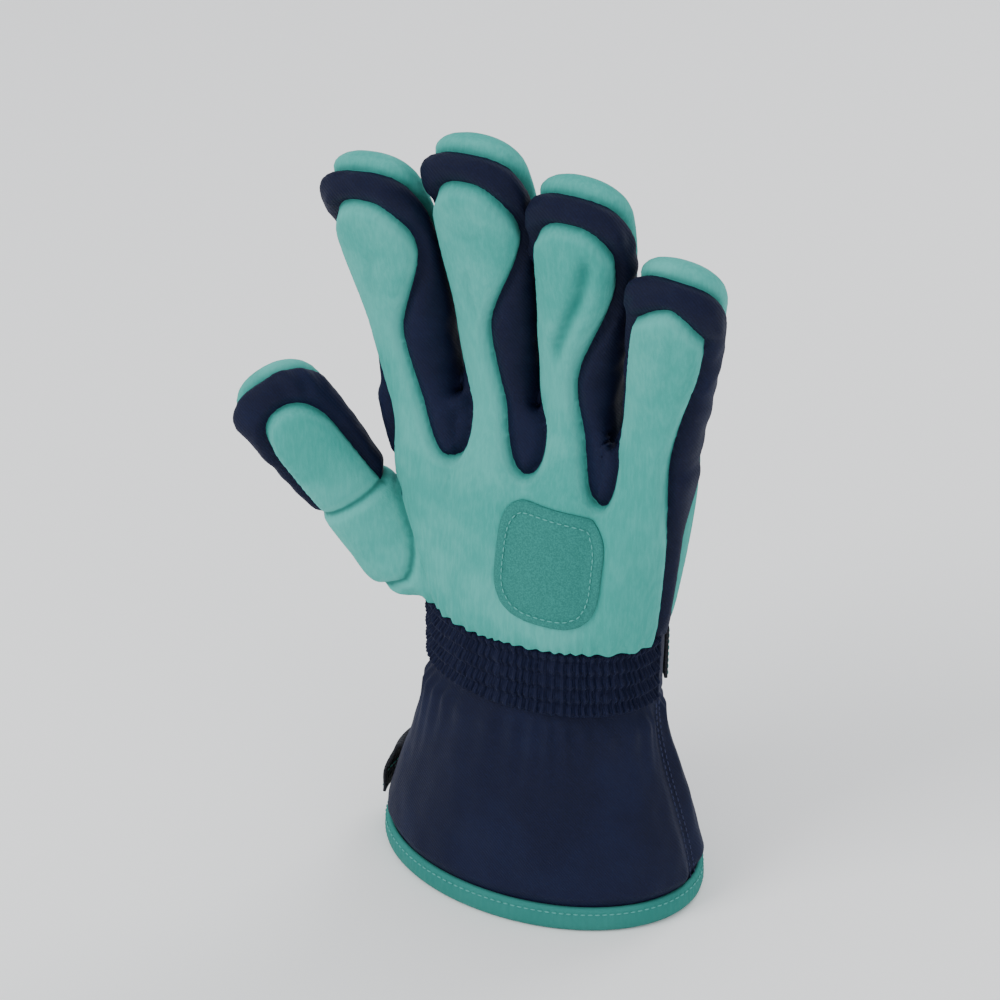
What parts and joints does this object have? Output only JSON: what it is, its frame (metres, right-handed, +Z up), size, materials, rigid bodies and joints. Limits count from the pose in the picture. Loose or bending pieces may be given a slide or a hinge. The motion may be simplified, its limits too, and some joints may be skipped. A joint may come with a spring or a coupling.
{
  "type": "ski glove",
  "caption": "Padded ski glove for the left hand, with box-cut fingers of teal panels and navy gussets, a flared cuff and a wrist strap.",
  "frame": {"origin": "on the ground, below the middle of the glove's outline, with the glove standing on its cuff", "axes": "+Z up from the cuff to the fingertips, -Y out of the palm, -X towards the thumb"},
  "size_m": [0.1724, 0.0854, 0.297],
  "materials": {
    "teal_cloth": "matte brushed softshell cloth",
    "navy_cloth": "matte stretch cloth",
    "patch_cloth": "hard-wearing grip cloth",
    "wadding": "polyester insulation",
    "fleece": "brushed fleece lining",
    "elastic": "shirred elastic",
    "webbing": "woven tape",
    "fastener_tape": "hook-and-loop tape",
    "rubber": "soft moulded rubber",
    "ring_plastic": "moulded plastic",
    "label_cloth": "plain woven tape"
  },
  "bodies": {
    "hand": {"thumb_base_panel": "teal_cloth", "palm_panel": "teal_cloth", "palm_insulation": "wadding", "palm_lining": "fleece", "hand_back_panel": "teal_cloth", "hand_back_insulation": "wadding", "hand_back_lining": "fleece", "little_side_panel": "navy_cloth", "index_side_panel": "navy_cloth", "palm_patch": "patch_cloth", "knuckle_pad": "navy_cloth", "cuff_palm_panel": "navy_cloth", "cuff_palm_lining": "fleece", "cuff_palm_hem": "teal_cloth", "cuff_back_panel": "navy_cloth", "cuff_back_lining": "fleece", "cuff_back_hem": "teal_cloth", "wrist_elastic": "elastic", "wrist_back_band": "navy_cloth", "wrist_back_padding": "wadding", "strap_webbing": "webbing", "strap_loop_pad": "fastener_tape", "strap_anchor": "webbing", "strap_ring": "ring_plastic", "cuff_pull_tab": "webbing", "care_label": "label_cloth"},
    "index_finger": {"index_front_panel": "teal_cloth", "index_back_panel": "teal_cloth", "index_inner_gusset": "navy_cloth", "index_outer_gusset": "navy_cloth", "index_insulation": "wadding", "index_lining": "fleece"},
    "middle_finger": {"middle_front_panel": "teal_cloth", "middle_back_panel": "teal_cloth", "middle_inner_gusset": "navy_cloth", "middle_outer_gusset": "navy_cloth", "middle_insulation": "wadding", "middle_lining": "fleece"},
    "ring_finger": {"ring_front_panel": "teal_cloth", "ring_back_panel": "teal_cloth", "ring_inner_gusset": "navy_cloth", "ring_outer_gusset": "navy_cloth", "ring_insulation": "wadding", "ring_lining": "fleece"},
    "little_finger": {"little_front_panel": "teal_cloth", "little_back_panel": "teal_cloth", "little_inner_gusset": "navy_cloth", "little_outer_gusset": "navy_cloth", "little_insulation": "wadding", "little_lining": "fleece"},
    "thumb": {"thumb_front_panel": "teal_cloth", "thumb_back_panel": "teal_cloth", "thumb_inner_gusset": "navy_cloth", "thumb_outer_gusset": "navy_cloth", "thumb_insulation": "wadding", "thumb_lining": "fleece"},
    "strap": {"strap_tab": "webbing", "strap_hook_pad": "fastener_tape", "strap_pull": "rubber", "strap_fold": "webbing"}
  },
  "joints": [
    {"name": "index_bend", "type": "hinge", "parent": "hand", "child": "index_finger", "pos_m": [-0.02641, -0.01788, 0.194], "axis": [0.989, -0.0692, 0.1305], "range_deg": [-10, 60]},
    {"name": "middle_bend", "type": "hinge", "parent": "hand", "child": "middle_finger", "pos_m": [0.00309, -0.01344, 0.198], "axis": [0.9992, -0.0209, 0.0349], "range_deg": [-10, 60]},
    {"name": "ring_bend", "type": "hinge", "parent": "hand", "child": "ring_finger", "pos_m": [0.03259, -0.01344, 0.195], "axis": [0.9982, 0.0279, -0.0523], "range_deg": [-10, 60]},
    {"name": "little_bend", "type": "hinge", "parent": "hand", "child": "little_finger", "pos_m": [0.06209, -0.01788, 0.187], "axis": [0.9853, 0.0862, -0.1478], "range_deg": [-10, 60]},
    {"name": "thumb_bend", "type": "hinge", "parent": "hand", "child": "thumb", "pos_m": [-0.04116, -0.02588, 0.147], "axis": [0.7031, 0.4556, 0.546], "range_deg": [-10, 28]},
    {"name": "strap_open", "type": "hinge", "parent": "hand", "child": "strap", "pos_m": [-0.00656, 0.02849, 0.098], "axis": [0, 0, 1], "range_deg": [0, 110]}
  ]
}
